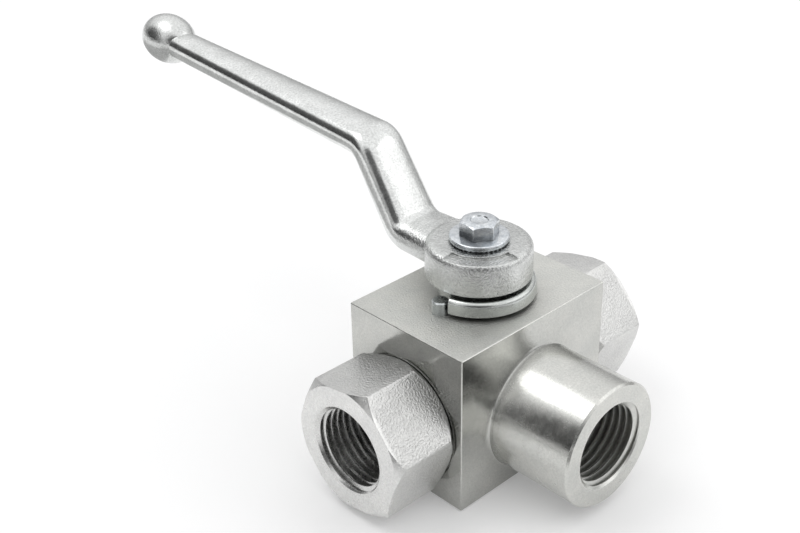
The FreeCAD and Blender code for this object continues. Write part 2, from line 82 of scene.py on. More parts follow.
class Bench:
    """Hand tools for modelling: selection, turning, cutting and finishing, in millimetres."""

    @staticmethod
    def clear() -> None:
        """Leave edit mode and deselect everything."""
        active = bpy.context.view_layer.objects.active
        if active is not None and active.mode != "OBJECT":
            bpy.ops.object.mode_set(mode="OBJECT")
        bpy.ops.object.select_all(action="DESELECT")

    @staticmethod
    def hold(piece: bpy.types.Object) -> None:
        """Select one piece alone and make it active."""
        Bench.clear()
        piece.select_set(True)
        bpy.context.view_layer.objects.active = piece

    @staticmethod
    def take(name: str) -> bpy.types.Object:
        """Name the primitive that was just added.

        Args:
            name: The piece's name.

        Returns:
            The piece.
        """
        piece = bpy.context.view_layer.objects.active
        piece.name = name
        piece.data.name = name
        return piece

    @staticmethod
    def block(name: str, low: tuple, high: tuple) -> bpy.types.Object:
        """Add a box between two corners.

        Args:
            name: The piece's name.
            low: Lowest corner.
            high: Highest corner.

        Returns:
            The box, with its scale applied.
        """
        Bench.clear()
        middle = [(a + b) / 2 * MM for a, b in zip(low, high)]
        sides = [(b - a) * MM for a, b in zip(low, high)]
        bpy.ops.mesh.primitive_cube_add(size=1.0, location=middle)
        piece = Bench.take(name)
        piece.scale = sides
        bpy.ops.object.transform_apply(location=True, rotation=True, scale=True)
        return piece

    @staticmethod
    def turned(name: str, outline: list, sides: int = ROUND_SIDES) -> bpy.types.Object:
        """Turn a solid about Z by extruding and resizing a disc from station to station.

        Args:
            name: The piece's name.
            outline: (height, radius) stations from the bottom up.
            sides: Number of sides round the axis.

        Returns:
            The turned solid.
        """
        Bench.clear()
        height, radius = outline[0]
        bpy.ops.mesh.primitive_circle_add(vertices=sides, radius=radius * MM, fill_type="NGON",
                                          location=(0.0, 0.0, height * MM))
        piece = Bench.take(name)
        bpy.ops.object.transform_apply(location=True, rotation=True, scale=True)
        bpy.ops.object.mode_set(mode="EDIT")
        bpy.ops.mesh.select_all(action="SELECT")
        for next_height, next_radius in outline[1:]:
            rise = (0.0, 0.0, (next_height - height) * MM)
            bpy.ops.mesh.extrude_region_move(TRANSFORM_OT_translate={"value": rise})
            grow = next_radius / radius
            bpy.ops.transform.resize(value=(grow, grow, 1.0),
                                     center_override=(0.0, 0.0, next_height * MM))
            height, radius = next_height, next_radius
        bpy.ops.mesh.select_all(action="SELECT")
        bpy.ops.mesh.normals_make_consistent(inside=False)
        bpy.ops.object.mode_set(mode="OBJECT")
        return piece

    @staticmethod
    def rod(name: str, radius: float, low: float, high: float, sides: int = ROUND_SIDES
            ) -> bpy.types.Object:
        """Plain cylinder on Z between two heights.

        Args:
            name: The piece's name.
            radius: Its radius.
            low: Lower end.
            high: Upper end.
            sides: Number of sides.

        Returns:
            The cylinder.
        """
        return Bench.turned(name, [(low, radius), (high, radius)], sides)

    @staticmethod
    def prism(name: str, corner_radius: float, low: float, high: float, corner_round: float
              ) -> bpy.types.Object:
        """Hexagonal bar on Z with a corner towards +Y and its long edges eased.

        Args:
            name: The piece's name.
            corner_radius: Distance from the axis to a corner.
            low: Lower end.
            high: Upper end.
            corner_round: How far each long edge is eased.

        Returns:
            The bar.
        """
        Bench.clear()
        bpy.ops.mesh.primitive_cylinder_add(vertices=6, radius=corner_radius * MM,
                                            depth=(high - low) * MM,
                                            location=(0.0, 0.0, (low + high) / 2 * MM))
        piece = Bench.take(name)
        bpy.ops.object.transform_apply(location=True, rotation=True, scale=True)
        bpy.ops.object.mode_set(mode="EDIT")
        bpy.ops.mesh.select_mode(type="EDGE")
        bpy.ops.mesh.select_all(action="DESELECT")
        mesh = bmesh.from_edit_mesh(piece.data)
        for edge in mesh.edges:
            along = edge.verts[0].co - edge.verts[1].co
            if abs(along.z) > abs(along.x) + abs(along.y):
                edge.select_set(True)
        bmesh.update_edit_mesh(piece.data)
        bpy.ops.mesh.bevel(offset=corner_round * MM, offset_type="OFFSET", segments=3, profile=0.5)
        bpy.ops.mesh.select_mode(type="VERT")
        bpy.ops.object.mode_set(mode="OBJECT")
        return piece

    @staticmethod
    def place(piece: bpy.types.Object, base: tuple, outward: tuple, up: tuple = (0.0, 0.0, 1.0)
              ) -> bpy.types.Object:
        """Carry a piece built on Z so that Z points outward and its +Y points up.

        Args:
            piece: The piece.
            base: Where its origin goes.
            outward: Where its Z axis goes.
            up: Where its Y axis goes, square to outward.

        Returns:
            The same piece, at the origin with its place in its mesh.
        """
        z_axis = Vector(outward).normalized()
        y_axis = Vector(up).normalized()
        if abs(y_axis.dot(z_axis)) > 0.99:
            y_axis = Vector((0.0, 1.0, 0.0))
        x_axis = y_axis.cross(z_axis)
        turn = Matrix((x_axis, y_axis, z_axis)).transposed().to_4x4()
        piece.matrix_world = Matrix.Translation(Vector(base) * MM) @ turn
        Bench.hold(piece)
        bpy.ops.object.transform_apply(location=True, rotation=True, scale=True)
        return piece

    @staticmethod
    def cut(piece: bpy.types.Object, tool: bpy.types.Object, how: Cut) -> None:
        """Apply a tool shape to a piece and throw the tool away.

        Args:
            piece: The piece that is kept.
            tool: The shape that acts on it.
            how: What the tool does.
        """
        modifier = piece.modifiers.new(tool.name, "BOOLEAN")
        modifier.operation = how.value
        modifier.solver = "EXACT"
        modifier.object = tool
        Bench.hold(piece)
        bpy.ops.object.modifier_apply(modifier=modifier.name)
        bpy.data.objects.remove(tool, do_unlink=True)

    @staticmethod
    def close_up(piece: bpy.types.Object, angle: float = SMOOTH_ANGLE) -> None:
        """Merge doubled points, point the faces outwards and shade the piece.

        Args:
            piece: The piece.
            angle: Edges flatter than this are shaded smooth.
        """
        Bench.hold(piece)
        bpy.ops.object.mode_set(mode="EDIT")
        bpy.ops.mesh.select_all(action="SELECT")
        bpy.ops.mesh.remove_doubles(threshold=MERGE_DISTANCE)
        bpy.ops.mesh.dissolve_degenerate(threshold=MERGE_DISTANCE)
        bpy.ops.mesh.normals_make_consistent(inside=False)
        bpy.ops.object.mode_set(mode="OBJECT")
        bpy.ops.object.shade_smooth_by_angle(angle=angle)

    @staticmethod
    def copy(piece: bpy.types.Object, name: str) -> bpy.types.Object:
        """Copy a piece with its own mesh.

        Args:
            piece: The piece to copy.
            name: The copy's name.

        Returns:
            The copy.
        """
        twin = piece.copy()
        twin.data = piece.data.copy()
        twin.name = name
        twin.data.name = name
        bpy.context.scene.collection.objects.link(twin)
        return twin


# ---- finishes ----------------------------------------------------------------------------
class Tooling(Enum):
    """Which way a cutting tool left its marks."""

    NONE = "NONE"
    LINES_Y = "Y"
    LINES_Z = "Z"


class Sheet:
    """A material's node sheet, filled in from the left to the right."""

    def __init__(self, name: str) -> None:
        """Start a material with one principled shader.

        Args:
            name: The material's name.
        """
        self.material = bpy.data.materials.new(name)
        self.material.use_nodes = True
        self.nodes = self.material.node_tree.nodes
        self.links = self.material.node_tree.links
        self.shader = self.nodes["Principled BSDF"]
        self.place = self.add("ShaderNodeTexCoord").outputs["Object"]

    def add(self, kind: str, **values: object) -> bpy.types.Node:
        """Add a node and set its properties or inputs by name.

        Args:
            kind: The node's type.
            **values: Properties, or inputs with spaces written as underscores.

        Returns:
            The node.
        """
        node = self.nodes.new(kind)
        for key, value in values.items():
            socket = node.inputs.get(key.replace("_", " "))
            if socket is not None:
                socket.default_value = value
            else:
                setattr(node, key, value)
        return node

    def join(self, source: bpy.types.NodeSocket, target: bpy.types.NodeSocket) -> None:
        """Link one socket to another."""
        self.links.new(source, target)

    def noise(self, scale: float, detail: float, rough: float) -> bpy.types.NodeSocket:
        """Add a noise pattern on the piece.

        Args:
            scale: Patches to the metre.
            detail: Octaves.
            rough: Weight of the finer octaves.

        Returns:
            The noise value.
        """
        node = self.add("ShaderNodeTexNoise", Scale=scale, Detail=detail, Roughness=rough)
        self.join(self.place, node.inputs["Vector"])
        return node.outputs["Fac"]

    def spread(self, value: bpy.types.NodeSocket, low: float, high: float, out_low: float,
               out_high: float) -> bpy.types.NodeSocket:
        """Map a range of values onto another.

        Args:
            value: The value.
            low: Start of its range.
            high: End of its range.
            out_low: What the start becomes.
            out_high: What the end becomes.

        Returns:
            The mapped value.
        """
        node = self.add("ShaderNodeMapRange", From_Min=low, From_Max=high, To_Min=out_low,
                        To_Max=out_high)
        self.join(value, node.inputs["Value"])
        return node.outputs["Result"]

    def blend(self, factor: bpy.types.NodeSocket, first: tuple, second: tuple) -> bpy.types.NodeSocket:
        """Mix two colours.

        Args:
            factor: How much of the second.
            first: The colour at a factor of 0.
            second: The colour at a factor of 1.

        Returns:
            The mixed colour.
        """
        node = self.add("ShaderNodeMix", data_type="RGBA")
        self.join(factor, node.inputs[0])
        for colour, socket in ((first, node.inputs[6]), (second, node.inputs[7])):
            socket.default_value = (*colour, 1.0)
        return node.outputs[2]

    def emboss(self, height: bpy.types.NodeSocket, depth: float, strength: float,
               below: bpy.types.NodeSocket | None) -> bpy.types.NodeSocket:
        """Raise a pattern on the surface.

        Args:
            height: The pattern.
            depth: Its full depth in millimetres.
            strength: Its weight.
            below: The normal that it lies on.

        Returns:
            The new normal.
        """
        node = self.add("ShaderNodeBump", Strength=strength, Distance=depth * MM)
        self.join(height, node.inputs["Height"])
        if below is not None:
            self.join(below, node.inputs["Normal"])
        return node.outputs["Normal"]


CLOUD_RANGE = (0.35, 0.65)
GRAIN_RANGE = (0.30, 0.70)
UNSHADED_OCCLUSION = 0.9  # occlusion value above which no painted shade is laid on a surface
BANDS_TO_THE_METRE = 0.314  # scale of a band pattern that has one band to the metre


@dataclass(frozen=True)
class Zone:
    """Part of a piece that has its own surface, told by distance from a plane, an axis or a point.

    The mask keeps the directions that count: one of them measures from a plane, two from an axis and
    all three from a point. Distances run from where the zone begins to show to where it is complete.
    """

    mask: tuple
    centre: tuple
    start: float
    end: float
    roughness: float
    grain_weight: float
    # Colour factor of the zone; on the block's top face it is partly painted light.
    tone: float = 1.0


@dataclass(frozen=True)
class MetalFinish:
    """Plated or machined metal: colour, mottling, grain, tool marks and eased edges."""

    name: str
    colour: tuple
    shade: tuple
    roughness: float
    roughness_swing: float = 0.04
    mottle: float = 160.0
    grain: float = 3300.0
    grain_depth: float = 0.010
    grain_weight: float = 0.3
    speckle: float = 0.10
    skin: float = 700.0
    skin_depth: float = 0.0
    tooling: Tooling = Tooling.NONE
    tool_pitch: float = 0.3
    tool_depth: float = 0.001
    edge_round: float = 0.12
    # Painted shade: an occlusion probe of this reach, in millimetres, darkens the colour by up to this
    # share in recesses and near other parts.
    painted_shade_reach: float = 5.0
    painted_shade_strength: float = 0.3
    zones: tuple = ()

    def by_zone(self, sheet: Sheet, start: float, quality: str) -> bpy.types.NodeSocket | None:
        """Blend a value from the main surface to that of each zone in turn.

        Args:
            sheet: The material's sheet.
            start: The value on the main surface.
            quality: The name of the zones' value.

        Returns:
            The blended value, or None where there are no zones.
        """
        value = None
        for zone in self.zones:
            shift = sheet.add("ShaderNodeVectorMath", operation="SUBTRACT")
            sheet.join(sheet.place, shift.inputs[0])
            shift.inputs[1].default_value = [distance * MM for distance in zone.centre]
            flat = sheet.add("ShaderNodeVectorMath", operation="MULTIPLY")
            sheet.join(shift.outputs[0], flat.inputs[0])
            flat.inputs[1].default_value = zone.mask
            away = sheet.add("ShaderNodeVectorMath", operation="LENGTH")
            sheet.join(flat.outputs[0], away.inputs[0])
            blended = sheet.spread(away.outputs["Value"], zone.start * MM, zone.end * MM,
                                   start, getattr(zone, quality))
            if value is not None:
                sheet.join(value, blended.node.inputs["To Min"])
            value = blended
        return value

    def paint(self, sheet: Sheet, grains: bpy.types.NodeSocket) -> None:
        """Lay on the colour: clouded, grained, and darkened in recesses by painted shade.

        Args:
            sheet: The material's sheet.
            grains: The grain pattern.
        """
        patches = sheet.noise(self.mottle, 4.0, 0.6)
        tone = sheet.blend(sheet.spread(patches, *CLOUD_RANGE, 0.0, 1.0), self.shade, self.colour)
        dots = sheet.spread(grains, *GRAIN_RANGE, 1.0 - self.speckle, 1.0 + self.speckle)
        # Painted shade: ambient occlusion darkens the colour where surfaces are hemmed in, standing in
        # for the shade that falls there.
        shade_probe = sheet.add("ShaderNodeAmbientOcclusion", samples=6, Distance=self.painted_shade_reach * MM)
        depth = sheet.spread(shade_probe.outputs["AO"], 0.0, UNSHADED_OCCLUSION, 1.0 - self.painted_shade_strength, 1.0)
        level = dots
        for part in (depth, self.by_zone(sheet, 1.0, "tone")):
            if part is not None:
                product = sheet.add("ShaderNodeMath", operation="MULTIPLY")
                sheet.join(level, product.inputs[0])
                sheet.join(part, product.inputs[1])
                level = product.outputs[0]
        whole = sheet.add("ShaderNodeVectorMath", operation="SCALE")
        sheet.join(tone, whole.inputs[0])
        sheet.join(level, whole.inputs["Scale"])
        sheet.join(whole.outputs[0], sheet.shader.inputs["Base Color"])

    def polish(self, sheet: Sheet) -> None:
        """Set how rough the surface is, with worn patches and the zone's own finish."""
        wear = sheet.noise(self.mottle * 3.0, 3.0, 0.6)
        swing = sheet.spread(wear, *CLOUD_RANGE, -self.roughness_swing, self.roughness_swing)
        base = self.by_zone(sheet, self.roughness, "roughness")
        total = sheet.add("ShaderNodeMath", operation="ADD")
        total.inputs[0].default_value = self.roughness
        if base is not None:
            sheet.join(base, total.inputs[0])
        sheet.join(swing, total.inputs[1])
        sheet.join(total.outputs[0], sheet.shader.inputs["Roughness"])

    def build(self) -> bpy.types.Material:
        """Make the material.

        Returns:
            The material.
        """
        sheet = Sheet(self.name)
        sheet.shader.inputs["Metallic"].default_value = 1.0
        grains = sheet.noise(self.grain, 2.0, 0.6)
        self.paint(sheet, grains)
        self.polish(sheet)
        normal = None
        if self.edge_round > 0:
            edge = sheet.add("ShaderNodeBevel", samples=4, Radius=self.edge_round * MM)
            normal = edge.outputs["Normal"]
        if self.skin_depth > 0:
            dents = sheet.noise(self.skin, 2.0, 0.5)
            normal = sheet.emboss(dents, self.skin_depth, 1.0, normal)
        if self.tooling is not Tooling.NONE:
            marks = sheet.add("ShaderNodeTexWave", wave_type="BANDS",
                              bands_direction=self.tooling.value,
                              Scale=BANDS_TO_THE_METRE / (self.tool_pitch * MM), Distortion=1.5,
                              Detail=2.0, Detail_Scale=2.0)
            sheet.join(sheet.place, marks.inputs["Vector"])
            normal = sheet.emboss(marks.outputs["Fac"], self.tool_depth, 0.6, normal)
        normal = sheet.emboss(grains, self.grain_depth, self.grain_weight, normal)
        weight = self.by_zone(sheet, self.grain_weight, "grain_weight")
        if weight is not None:
            sheet.join(weight, normal.node.inputs["Strength"])
        sheet.join(normal, sheet.shader.inputs["Normal"])
        return sheet.material


@dataclass(frozen=True)
class PlainFinish:
    """Plastic or rubber: colour, clouding and a fine moulded grain."""

    name: str
    colour: tuple
    shade: tuple
    roughness: float
    roughness_swing: float = 0.06
    clouds: float = 220.0
    grain: float = 3000.0
    grain_depth: float = 0.004

    def build(self) -> bpy.types.Material:
        """Make the material.

        Returns:
            The material.
        """
        sheet = Sheet(self.name)
        shader = sheet.shader
        clouds = sheet.noise(self.clouds, 3.0, 0.6)
        tone = sheet.blend(sheet.spread(clouds, *CLOUD_RANGE, 0.0, 1.0), self.shade, self.colour)
        sheet.join(tone, shader.inputs["Base Color"])
        dull = sheet.spread(clouds, *GRAIN_RANGE, self.roughness - self.roughness_swing,
                            self.roughness + self.roughness_swing)
        sheet.join(dull, shader.inputs["Roughness"])
        grains = sheet.noise(self.grain, 2.0, 0.6)
        sheet.join(sheet.emboss(grains, self.grain_depth, 0.5, None), shader.inputs["Normal"])
        return sheet.material


ALONG_X = (1.0, 0.0, 0.0)
ALONG_Y = (0.0, 1.0, 0.0)
ALONG_Z = (0.0, 0.0, 1.0)
ROUND_X = (0.0, 1.0, 1.0)
ALL_ROUND = (1.0, 1.0, 1.0)
MIDDLE = (0.0, 0.0, 0.0)
PORT_AXIS = (0.0, 0.0, 17.3)
SIDE_PORT_THREAD = (0.0, -33.0, 17.3)

BLOCK_STEEL = MetalFinish(
    "block_zinc_plate", colour=(0.575, 0.575, 0.548), shade=(0.525, 0.53, 0.508), roughness=0.17,
    grain=2300.0, grain_depth=0.070, grain_weight=0.05, speckle=0.08, edge_round=0.06,
    # painted shade in recesses: 7 mm reach, up to 40 % darker
    painted_shade_reach=7.0, painted_shade_strength=0.4, tooling=Tooling.LINES_Y, tool_pitch=0.5,
    zones=(Zone(ALONG_Y, MIDDLE, start=17.6, end=18.2, roughness=0.235, grain_weight=0.03, tone=1.10),
           # Partly painted light: the top face is made lighter, as where it catches the light from
           # above; its rougher, coarser grain is its own finish.
           Zone(ALONG_Z, MIDDLE, start=39.85, end=39.95, roughness=0.48, grain_weight=2.4, tone=1.26),
           Zone(ALL_ROUND, SIDE_PORT_THREAD, start=12.9, end=12.3, roughness=0.34,
                grain_weight=0.03, tone=1.2)))
ADAPTER_STEEL = MetalFinish(
    "adapter_zinc_plate", colour=(0.73, 0.73, 0.715), shade=(0.67, 0.67, 0.66), roughness=0.34,
    grain=2100.0, grain_depth=0.20, grain_weight=1.0, speckle=0.09,
    zones=(Zone(ALONG_X, MIDDLE, start=40.6, end=41.2, roughness=0.30, grain_weight=0.03, tone=1.05),
           Zone(ROUND_X, PORT_AXIS, start=11.4, end=11.0, roughness=0.26, grain_weight=0.02)))
LEVER_ZINC = MetalFinish(
    "lever_cast_zinc_plate", colour=(0.69, 0.70, 0.69), shade=(0.59, 0.60, 0.59), roughness=0.24,
    skin=520.0, skin_depth=0.040, grain=2100.0, grain_weight=1.0, grain_depth=0.16,
    speckle=0.14, edge_round=0.3,
    zones=(Zone(ALONG_Y, MIDDLE, start=12.0, end=22.0, roughness=0.16, grain_weight=0.14, tone=1.16),
           Zone(ALONG_Y, MIDDLE, start=104.0, end=112.0, roughness=0.25, grain_weight=0.3,
                tone=1.06)))
DISC_STEEL = MetalFinish(
    "disc_zinc_plate", colour=(0.62, 0.64, 0.62), shade=(0.54, 0.56, 0.545), roughness=0.24,
    tooling=Tooling.LINES_Z, tool_pitch=0.4)
FASTENER_ZINC = MetalFinish(
    "fastener_bright_zinc", colour=(0.78, 0.805, 0.825), shade=(0.58, 0.615, 0.65), roughness=0.16,
    roughness_swing=0.05, mottle=900.0, grain=2300.0, grain_depth=0.012, speckle=0.10,
    # painted shade in recesses: 3 mm reach, up to 60 % darker
    grain_weight=0.8, edge_round=0.05, painted_shade_reach=3.0, painted_shade_strength=0.6)
PIN_STEEL = MetalFinish(
    "pin_ground_steel", colour=(0.58, 0.61, 0.61), shade=(0.50, 0.53, 0.53), roughness=0.26,
    tooling=Tooling.LINES_Z, tool_pitch=0.25)
STEM_STEEL = MetalFinish(
    "stem_ground_steel", colour=(0.56, 0.56, 0.55), shade=(0.50, 0.50, 0.49), roughness=0.28,
    tooling=Tooling.LINES_Z, tool_pitch=0.2)
BALL_CHROME = MetalFinish(
    "ball_hard_chrome", colour=(0.80, 0.80, 0.81), shade=(0.76, 0.76, 0.77), roughness=0.08,
    roughness_swing=0.02, grain_depth=0.001, speckle=0.03, edge_round=0.0)
SEAT_ACETAL = PlainFinish(
    "seat_acetal", colour=(0.80, 0.78, 0.72), shade=(0.74, 0.72, 0.66), roughness=0.42)
SEAL_RUBBER = PlainFinish(
    "seal_nitrile", colour=(0.022, 0.022, 0.023), shade=(0.016, 0.016, 0.017), roughness=0.52)


class Wardrobe:
    """Builds each finish once and puts it on pieces and CAD nodes."""

    def __init__(self) -> None:
        """Start with no materials made."""
        self.made: dict[str, bpy.types.Material] = {}

    def material(self, finish: MetalFinish | PlainFinish) -> bpy.types.Material:
        """Give a finish's material, made on first use."""
        if finish.name not in self.made:
            self.made[finish.name] = finish.build()
        return self.made[finish.name]

    def dress(self, piece: bpy.types.Object, finish: MetalFinish | PlainFinish) -> None:
        """Put one finish all over a piece."""
        piece.data.materials.clear()
        piece.data.materials.append(self.material(finish))

    def dress_node(self, node: str, finish: MetalFinish | PlainFinish) -> None:
        """Put one finish in every material slot of a CAD node.

        Args:
            node: The node's name.
            finish: Its finish.
        """
        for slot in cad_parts[node].material_slots:
            slot.material = self.material(finish)
        LOG.info("node %s wears %s", node, finish.name)


def fit(piece: bpy.types.Object, body: str, nodes: tuple) -> None:
    """Hand a finished piece over to the frame.

    Args:
        piece: The piece.
        body: The CAD body that it rides on.
        nodes: The CAD nodes that it stands for.
    """
    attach(piece, body)
    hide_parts(*nodes)
    LOG.info("piece %s: %d faces, rides %s", piece.name, len(piece.data.polygons), body)


# ---- threads -----------------------------------------------------------------------------
@dataclass
class Thread:
    """A screw thread cut as a true helix."""

    major: float
    minor: float
    pitch: float
    crest_share: float = 0.16
    flank_slack: float = 0.01
    crest_slack: float = 0.1
    sides: int = ROUND_SIDES

    def coil(self, name: str, start: float, end: float, outside: bool) -> bpy.types.Object:
        """Make the helical tool of one thread groove on Z.

        Args:
            name: The tool's name.
            start: Height where the groove starts.
            end: Height where it ends.
            outside: True for a groove cut into a rod, False for one cut into a hole.

        Returns:
            The closed coil.
        """
        flat = self.pitch * self.crest_share / 2
        wide = self.pitch / 2 - flat + self.flank_slack
        if outside:
            open_radius, floor_radius = self.major / 2 + self.crest_slack, self.minor / 2
        else:
            open_radius, floor_radius = self.minor / 2 - self.crest_slack, self.major / 2
        corners = [(open_radius, start - wide), (open_radius, start + wide),
                   (floor_radius, start + flat), (floor_radius, start - flat)]
        Bench.clear()
        bpy.ops.mesh.primitive_plane_add(size=MM, location=(0.0, 0.0, 0.0))
        piece = Bench.take(name)
        for index, (radius, height) in zip((0, 1, 3, 2), corners):
            piece.data.vertices[index].co = (radius * MM, 0.0, height * MM)
        bpy.ops.object.mode_set(mode="EDIT")
        bpy.ops.mesh.select_all(action="SELECT")
        bpy.ops.mesh.delete(type="ONLY_FACE")
        bpy.ops.object.mode_set(mode="OBJECT")
        turns = max(1, round((end - start) / self.pitch))
        modifier = piece.modifiers.new("helix", "SCREW")
        modifier.axis = "Z"
        modifier.angle = math.tau
        modifier.screw_offset = self.pitch * MM
        modifier.iterations = turns
        modifier.steps = self.sides
        modifier.render_steps = self.sides
        modifier.use_merge_vertices = False
        Bench.hold(piece)
        bpy.ops.object.modifier_apply(modifier=modifier.name)
        bpy.ops.object.mode_set(mode="EDIT")
        bpy.ops.mesh.select_all(action="SELECT")
        bpy.ops.mesh.remove_doubles(threshold=MERGE_DISTANCE)
        bpy.ops.mesh.fill_holes(sides=0)
        bpy.ops.mesh.select_all(action="SELECT")
        bpy.ops.mesh.normals_make_consistent(inside=False)
        bpy.ops.object.mode_set(mode="OBJECT")
        return piece


@dataclass
class Port:
    """A threaded port with its mouth chamfer, tapping drill and flow bore."""

    thread: Thread
    depth: float = 15.0
    drill_depth: float = 18.0
    bore_radius: float = 6.5
    tip_angle: float = 118.0
    mouth_slack: float = 0.02
    turns_past_mouth: float = 1.5

    def cut_into(self, piece: bpy.types.Object, mouth: tuple, outward: tuple, bore_length: float
                 ) -> None:
        """Cut the port into a piece.

        Args:
            piece: The piece.
            mouth: Centre of the port's mouth.
            outward: The way out of the port.
            bore_length: How far the flow bore runs in from the mouth.
        """
        major = self.thread.major / 2
        minor = self.thread.minor / 2
        half_tip = math.radians(self.tip_angle / 2)
        tip = self.drill_depth + (minor - self.bore_radius) / math.tan(half_tip)
        outline = [(-bore_length, self.bore_radius), (-tip, self.bore_radius),
                   (-self.drill_depth, minor), (minor - major - self.mouth_slack, minor),
                   (OVERSHOOT, major + OVERSHOOT + self.mouth_slack)]
        drill = Bench.place(Bench.turned("drill", outline), mouth, outward)
        Bench.cut(piece, drill, Cut.AWAY)
        past_mouth = self.turns_past_mouth * self.thread.pitch
        coil = self.thread.coil("tap", -self.depth, past_mouth, outside=False)
        Bench.cut(piece, Bench.place(coil, mouth, outward), Cut.AWAY)


PIPE_THREAD = Thread(major=20.955, minor=18.631, pitch=1.814)
SCREW_THREAD = Thread(major=5.0, minor=4.05, pitch=0.8, sides=32)


# ---- valve body --------------------------------------------------------------------------
@dataclass
class ValveBlock:
    """Steel block with the turned side port in one piece."""

    length: float = 47.5
    width: float = 35.0
    height: float = 40.0
    port_height: float = 17.3
    edge: float = 0.2
    spigot_radius: float = 15.0
    spigot_reach: float = 22.2
    spigot_chamfer: float = 0.5
    root_cone: float = 1.0
    root_hollow_out: float = 0.4
    root_hollow_wide: float = 0.2
    cavity_radius: float = 12.0
    adapter_radius: float = 13.52
    adapter_depth: float = 8.0
    stem_radius: float = 6.03
    stem_chamfer: float = 0.3
    counterbore_radius: float = 8.0
    counterbore_top: float = 31.95
    pin_orbit: float = 12.4
    pin_radius: float = 2.0
    pin_depth: float = 6.0
    pin_slack: float = 0.01

    def build(self) -> bpy.types.Object:
        """Model the block, its spigot and all its bores.

        Returns:
            The piece.
        """
        half_length, half_width = self.length / 2, self.width / 2
        piece = Bench.block("block", (-half_length, -half_width, 0.0),
                            (half_length, half_width, self.height))
        bpy.ops.object.mode_set(mode="EDIT")
        bpy.ops.mesh.select_all(action="SELECT")
        bpy.ops.mesh.bevel(offset=self.edge * MM, offset_type="OFFSET", segments=1)
        bpy.ops.object.mode_set(mode="OBJECT")
        radius, chamfer = self.spigot_radius, self.spigot_chamfer
        cone = self.root_cone
        outline = [(-OVERSHOOT, radius + cone), (0.0, radius + cone),
                   (cone * self.root_hollow_out, radius + cone * self.root_hollow_wide),
                   (cone, radius), (self.spigot_reach - chamfer, radius),
                   (self.spigot_reach, radius - chamfer)]
        front = (0.0, -1.0, 0.0)
        spigot = Bench.turned("spigot", outline)
        Bench.place(spigot, (0.0, -half_width, self.port_height), front)
        Bench.cut(piece, spigot, Cut.JOIN)
        reach = half_length + OVERSHOOT
        ledge = half_length - self.adapter_depth
        cavity = Bench.turned("cavity", [
            (-reach, self.adapter_radius), (-ledge, self.adapter_radius),
            (-ledge, self.cavity_radius), (ledge, self.cavity_radius),
            (ledge, self.adapter_radius), (reach, self.adapter_radius)])
        Bench.cut(piece, Bench.place(cavity, (0.0, 0.0, self.port_height), (1.0, 0.0, 0.0)), Cut.AWAY)
        stem_bore = Bench.turned("stem_bore", [
            (self.port_height, self.counterbore_radius),
            (self.counterbore_top, self.counterbore_radius), (self.counterbore_top, self.stem_radius),
            (self.height - self.stem_chamfer, self.stem_radius),
            (self.height + OVERSHOOT, self.stem_radius + OVERSHOOT + self.stem_chamfer)])
        Bench.cut(piece, stem_bore, Cut.AWAY)
        pin_hole = Bench.rod("pin_hole", self.pin_radius + self.pin_slack,
                             self.height - self.pin_depth, self.height + OVERSHOOT, SMALL_SIDES)
        Bench.place(pin_hole, (-self.pin_orbit, 0.0, 0.0), (0.0, 0.0, 1.0), (0.0, 1.0, 0.0))
        Bench.cut(piece, pin_hole, Cut.AWAY)
        mouth = (0.0, -half_width - self.spigot_reach, self.port_height)
        Port(PIPE_THREAD).cut_into(piece, mouth, front, half_width + self.spigot_reach)
        Bench.close_up(piece)
        return piece

    def dress(self, piece: bpy.types.Object, wardrobe: Wardrobe) -> None:
        """Finish the block and hand it over."""
        wardrobe.dress(piece, BLOCK_STEEL)
        fit(piece, "valve_body", ("body",))


